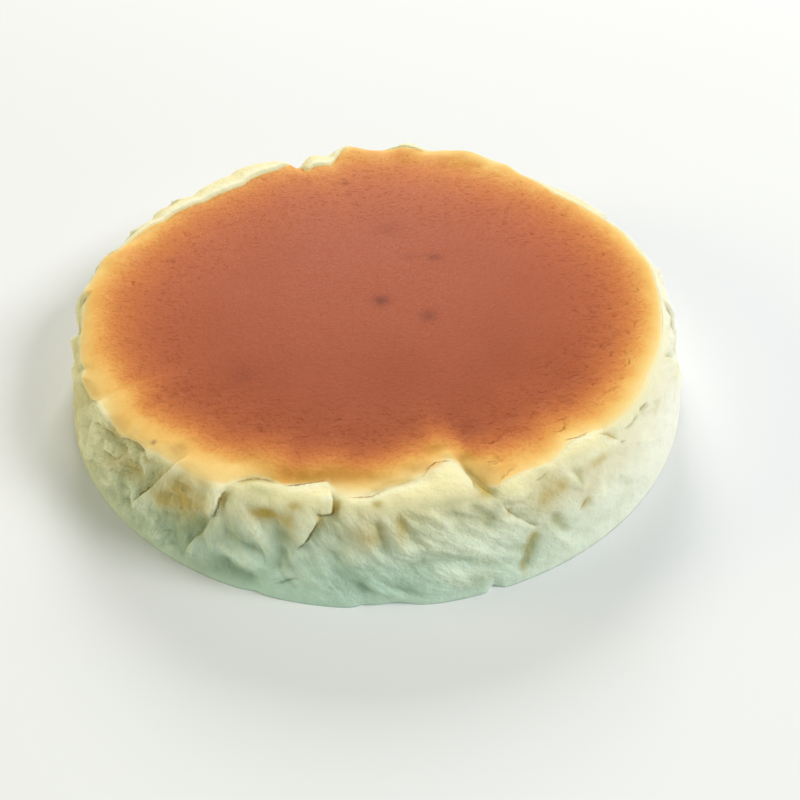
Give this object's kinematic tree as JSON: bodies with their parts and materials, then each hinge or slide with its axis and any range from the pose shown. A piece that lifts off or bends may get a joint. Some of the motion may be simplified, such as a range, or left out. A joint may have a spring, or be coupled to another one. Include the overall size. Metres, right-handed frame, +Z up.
{
  "type": "cheesecake",
  "caption": "Whole round baked cheesecake: browned gently crowned top, pale creased wall with the print of crumpled baking paper, flat foot.",
  "frame": {"origin": "middle of the flat foot, on the surface the cake stands on", "axes": "+Z up through the middle of the browned top, -Y towards the pictured front, +X to its right"},
  "size_m": [0.2556, 0.2554, 0.0418],
  "materials": {
    "baked_cheesecake": "soft satin, browned on top"
  },
  "bodies": {
    "root": {"cheesecake": "baked_cheesecake"}
  },
  "joints": []
}
